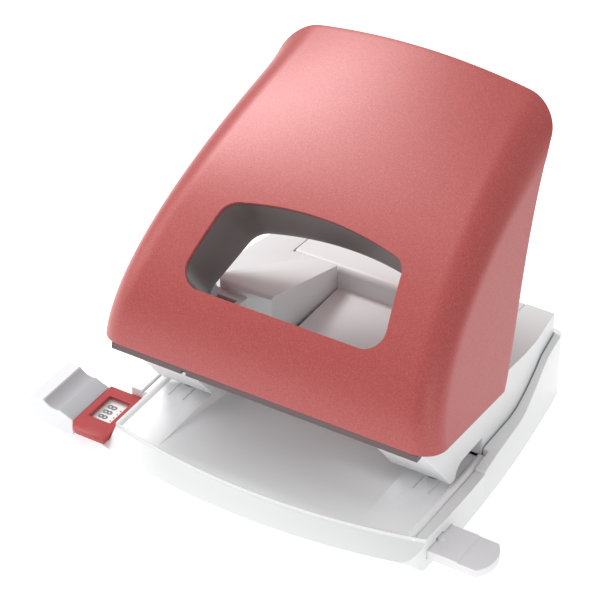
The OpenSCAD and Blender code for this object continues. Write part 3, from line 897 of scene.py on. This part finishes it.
    def build_shell(self, paints: Paintbox, bead: NodeTool) -> BVHTree:
        """Builds the shell with its window and the rounded lip round the window.

        Args:
            paints: the finishes.
            bead: the tool that sweeps the lip.

        Returns:
            A search tree of the uncut outer skin.
        """
        shell = self.form("lever_shell_skin")
        round_edges(shell, self.rim_rounding * MM, angle=48)
        whole = bmesh.new()
        whole.from_mesh(shell.data)
        tree = BVHTree.FromBMesh(whole)
        whole.free()
        self.cut_window(shell)
        shell.data.polygons.foreach_set("use_smooth", [True] * len(shell.data.polygons))
        shell.data.set_sharp_from_angle(angle=math.radians(32))
        dress(shell, paints["red_metallic"])
        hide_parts("lever_shell")
        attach(shell, "lever")
        _, _, _, out = self.window_frame()
        ring = [p - out * self.bead * MM for p in self.surface_points(tree, self.bead - self.bead_overlap)]
        edges = [(i, (i + 1) % len(ring)) for i in range(len(ring))]
        path = bpy.data.meshes.new("window_lip")
        path.from_pydata([tuple(p) for p in ring], edges, [])
        lip = new_object("window_lip", path)
        bead.run(lip, paints["red_metallic"], Bead_Radius=self.bead * MM)
        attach(lip, "lever")
        LOG.info("lever shell: %d faces, lip: %d", len(shell.data.polygons), len(lip.data.polygons))
        return tree

    def build_collar(self, paints: Paintbox, tree: BVHTree) -> bpy.types.Object:
        """Builds the dark collar that runs inward from the window and ends at a slant.

        Args:
            paints: the finishes.
            tree: the shell's outer skin.

        Returns:
            The collar.
        """
        _, _, _, out = self.window_frame()
        tilt = math.radians(self.collar_plane_tilt)
        plane_at = Vector(self.collar_plane_at) * MM
        plane_up = Vector((0.0, -math.sin(tilt), math.cos(tilt)))
        inside = self.surface_points(tree, -self.collar_inset)
        outside = self.surface_points(tree, self.collar_wall)
        rounding = self.collar_round * MM
        skins = []
        for near, far in zip(inside, outside):
            foot = near - out * ((near - plane_at).dot(plane_up) / out.dot(plane_up))
            far_foot = far - out * ((far - plane_at).dot(plane_up) / out.dot(plane_up))
            top = near - out * self.collar_start * MM
            length = (top - foot).length
            inner = [top.lerp(foot, q) for q in (0, 0.12, 0.3, 0.5, 0.7, 0.88, 1 - rounding / length)]
            end = [foot.lerp(far_foot, q) for q in (0.2, 0.5, 0.8)]
            back = far - out * (self.wall + self.collar_back) * MM
            skins.append([*inner, *end, far_foot + out * rounding, back])
        n, m = len(skins), len(skins[0])
        points = [p for skin in skins for p in skin]
        faces = []
        for i in range(n):
            for j in range(m):
                k, nxt = (i + 1) % n, (j + 1) % m
                faces.append((i * m + j, i * m + nxt, k * m + nxt, k * m + j))
        collar = new_object("window_collar_skin", mesh_from("window_collar_skin", points, faces))
        work = bmesh.new()
        work.from_mesh(collar.data)
        bmesh.ops.recalc_face_normals(work, faces=work.faces)
        work.to_mesh(collar.data)
        work.free()
        collar.data.set_sharp_from_angle(angle=math.radians(60))
        dress(collar, paints["collar_plastic"])
        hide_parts("window_collar")
        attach(collar, "lever")
        return collar

    def build(self, paints: Paintbox, bead: NodeTool) -> None:
        """Builds every piece of the lever."""
        tree = self.build_shell(paints, bead)
        self.build_collar(paints, tree)
        RoundedCopy("lever_lip_strip", "lever", "lip_plastic", edge=0.3).fit(paints)


# ---- small marks ----


@dataclass
class FormatMarks:
    """Plain digits and a row of dots printed on the format strip."""

    at_x: float = -54.9
    first_y: float = 8.4
    step_y: float = 2.4
    digit_height: float = 3.1
    digit_width: float = 1.8
    stroke: float = 0.6
    thickness: float = 0.03
    dot_x: float = -51.9
    dot_y: float = 7.7
    dot_step: float = 1.75
    dot_radius: float = 0.26
    clearance: float = 0.004
    loop_steps: int = 28
    dot_steps: int = 16

    def ring(self, centre: tuple[float, float], radii: tuple[float, float], z: float) -> tuple:
        """One flat loop of a digit.

        Args:
            centre: the loop's middle in millimetres.
            radii: half its length and half its width, outside, in millimetres.
            z: the height of its underside in millimetres.

        Returns:
            Its points in metres and its faces.
        """
        inner, thick = -self.stroke, self.thickness
        section = ((inner, 0), (0, 0), (0, thick), (inner, thick))
        points, faces = [], []
        for k in range(self.loop_steps):
            a = 2 * math.pi * k / self.loop_steps
            for grow, height in section:
                x = centre[0] + (radii[0] + grow) * math.cos(a)
                y = centre[1] + (radii[1] + grow) * math.sin(a)
                points.append((x * MM, y * MM, (z + height) * MM))
        for k in range(self.loop_steps):
            n = (k + 1) % self.loop_steps
            for j in range(4):
                i = (j + 1) % 4
                faces.append((k * 4 + j, n * 4 + j, n * 4 + i, k * 4 + i))
        return points, faces

    def digit(self, z: float) -> bpy.types.Mesh:
        """One eight: two loops that share their middle."""
        quarter = self.digit_height / 4
        points, faces = [], []
        for shift in (-1, 1):
            centre = (self.at_x + shift * (quarter - self.stroke / 4), self.first_y)
            radii = (quarter + self.stroke / 4, self.digit_width / 2)
            more, rings = self.ring(centre, radii, z)
            base = len(points)
            points += more
            faces += [tuple(base + v for v in f) for f in rings]
        return mesh_from("digit", points, faces, smooth=False)

    def dot(self, z: float) -> bpy.types.Mesh:
        """One thin round dot whose underside is at a height in millimetres."""
        steps = self.dot_steps
        turns = [2 * math.pi * k / steps for k in range(steps)]
        points = []
        for height in (z, z + self.thickness):
            for a in turns:
                x = self.dot_x + self.dot_radius * math.cos(a)
                y = self.dot_y + self.dot_radius * math.sin(a)
                points.append((x * MM, y * MM, height * MM))
        return mesh_from("format_dots", points, prism_faces(steps), smooth=False)

    def build(self, paints: Paintbox, row: NodeTool) -> None:
        """Prints the digits and the dots on the strip."""
        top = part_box("format_label")[1].z / MM + self.clearance
        digits = new_object("format_digits", self.digit(top))
        row.run(digits, paints["label_ink"], Count=3, Step=(0.0, self.step_y * MM, 0.0))
        dots = new_object("format_dots", self.dot(top))
        row.run(dots, paints["label_ink"], Count=4, Step=(0.0, self.dot_step * MM, 0.0))
        for piece in (digits, dots):
            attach(piece, "rail")


@dataclass
class PinSprings:
    """The two return springs, wound from round wire."""

    turns: float = 4.5
    coil_radius: float = 3.5
    wire_radius: float = 0.32
    travel: float = 5.75

    def build(self, paints: Paintbox, coil: NodeTool) -> None:
        """Winds a spring in each CAD spring's place."""
        for side in Side:
            node = f"return_spring_{side.word}"
            low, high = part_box(node)
            middle = (low + high) / 2
            length = high.z - low.z
            spring = new_object(f"{node}_wire", bpy.data.meshes.new(node))
            coil.run(
                spring,
                paints["pin_steel"],
                Turns=self.turns,
                Coil_Radius=self.coil_radius * MM,
                Height=length - 2 * self.wire_radius * MM,
                Wire_Radius=self.wire_radius * MM,
                Place=(middle.x, middle.y, low.z + self.wire_radius * MM),
            )
            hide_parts(node)
            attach(spring, "base")
            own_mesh(spring)


class Body:
    """The base, table, covers, rail and tray, which follow their CAD nodes."""

    pieces = (
        RoundedCopy("base_front_shell", "base", "shell_plastic", 0.45),
        RoundedCopy("base_rear_shell", "base", "shell_plastic", 0.45),
        RoundedCopy("paper_table", "base", "table_plastic", 0.25),
        RoundedCopy("side_cover_left", "base", "cover_plastic", 0.5),
        RoundedCopy("side_cover_right", "base", "cover_plastic", 0.5),
        RoundedCopy("rear_cover", "base", "cover_plastic", 0.4),
        RoundedCopy("format_frame", "base", "red_plastic", 0.3),
        RoundedCopy("guide_rail", "rail", "rail_plastic", 0.35),
        # The stop flap takes the plastic with painted shade on its hollowed face.
        RoundedCopy("stop_flap", "rail", "flap_plastic", 0.6),
        RoundedCopy("rail_end_pip", "rail", "rail_plastic", 0.3),
        RoundedCopy("chip_tray", "tray", "tray_plastic", 0.3),
    )

    def build(self, paints: Paintbox) -> None:
        """Fits every piece."""
        for piece in self.pieces:
            piece.fit(paints)


def dress_nodes(paints: Paintbox) -> None:
    """Gives every CAD node that still shows the finish of its record slot."""
    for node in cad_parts.values():
        plain = node.data.materials[0].name.split(".")[0]
        node.data.materials.clear()
        node.data.materials.append(paints[plain])


# ---- studio ----


@dataclass
class Studio:
    """A pale floor, soft lights and the camera."""

    camera_at: tuple = (0.3174, -0.5028, 0.4962)
    back: tuple = (0.4197, -0.6985, 0.5796)
    roll: float = 0.36
    lens: float = 168.1
    sensor: float = 36.0
    lamp_target: tuple = (0.0, 0.045, 0.04)
    sky: float = 0.66
    floor_reach: float = 6.0
    floor_glow: float = 0.42

    def place_camera(self) -> None:
        """Puts the camera at its place and makes it the scene's."""
        data = bpy.data.cameras.new("camera")
        data.lens, data.sensor_width = self.lens, self.sensor
        data.clip_start = 0.02
        camera = bpy.data.objects.new("camera", data)
        bpy.context.scene.collection.objects.link(camera)
        back = Vector(self.back).normalized()
        right = Vector((0.0, 0.0, 1.0)).cross(back).normalized()
        up = back.cross(right)
        turn = math.radians(self.roll)
        across = right * math.cos(turn) + up * math.sin(turn)
        above = up * math.cos(turn) - right * math.sin(turn)
        pose = Matrix((across, above, back)).transposed().to_4x4()
        pose.translation = Vector(self.camera_at)
        camera.matrix_world = pose
        bpy.context.scene.camera = camera

    def lamp(self, name: str, at: tuple, size: float, power: float) -> None:
        """A square soft light that faces the punch."""
        data = bpy.data.lights.new(name, "AREA")
        data.shape, data.size, data.energy = "SQUARE", size, power
        lamp = bpy.data.objects.new(name, data)
        bpy.context.scene.collection.objects.link(lamp)
        lamp.location = at
        away = Vector(at) - Vector(self.lamp_target)
        lamp.rotation_euler = away.to_track_quat("Z", "Y").to_euler()

    def lay_floor(self) -> None:
        """Lays a wide pale floor that glows a little."""
        reach = self.floor_reach
        corners = [(-reach, -reach, 0.0), (reach, -reach, 0.0), (reach, reach, 0.0), (-reach, reach, 0.0)]
        floor = new_object("floor", mesh_from("floor", corners, [(0, 1, 2, 3)], smooth=False))
        paper = Shader("floor_paper")
        tone = paper.mix(paper.noise(3.0, 2.0), (0.94, 0.94, 0.94), (0.96, 0.96, 0.96))
        paper.surface(Base_Color=tone, Roughness=0.9)
        paper.surface(Emission_Color=(1.0, 1.0, 1.0), Emission_Strength=self.floor_glow)
        floor.data.materials.append(paper.material)

    def build(self) -> None:
        """Sets the floor, the sky and the lights."""
        scene = bpy.context.scene
        scene.view_settings.view_transform = "Standard"
        world = bpy.data.worlds.new("studio")
        world.use_nodes = True
        backdrop = world.node_tree.nodes["Background"]
        backdrop.inputs["Color"].default_value = (1.0, 1.0, 1.0, 1.0)
        backdrop.inputs["Strength"].default_value = self.sky
        scene.world = world
        self.lay_floor()
        self.lamp("key", (-0.9, -0.35, 0.6), 0.7, 2.8)
        self.lamp("glow", (-0.6, 0.22, 0.9), 0.3, 6.2)
        self.lamp("fill", (0.9, -0.7, 0.35), 0.8, 1.6)


def main() -> None:
    """Builds the scene in order and reports each piece."""
    logging.basicConfig(level=logging.INFO, format="%(name)s: %(message)s")
    studio = Studio()
    studio.place_camera()
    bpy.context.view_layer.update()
    paints = Paintbox()
    dress_nodes(paints)
    row, coil, bead = row_tool(), coil_tool(), bead_tool()
    Body().build(paints)
    Lever().build(paints, bead)
    FormatMarks().build(paints, row)
    PinSprings().build(paints, coil)
    studio.build()


if __name__ == "__main__":
    main()
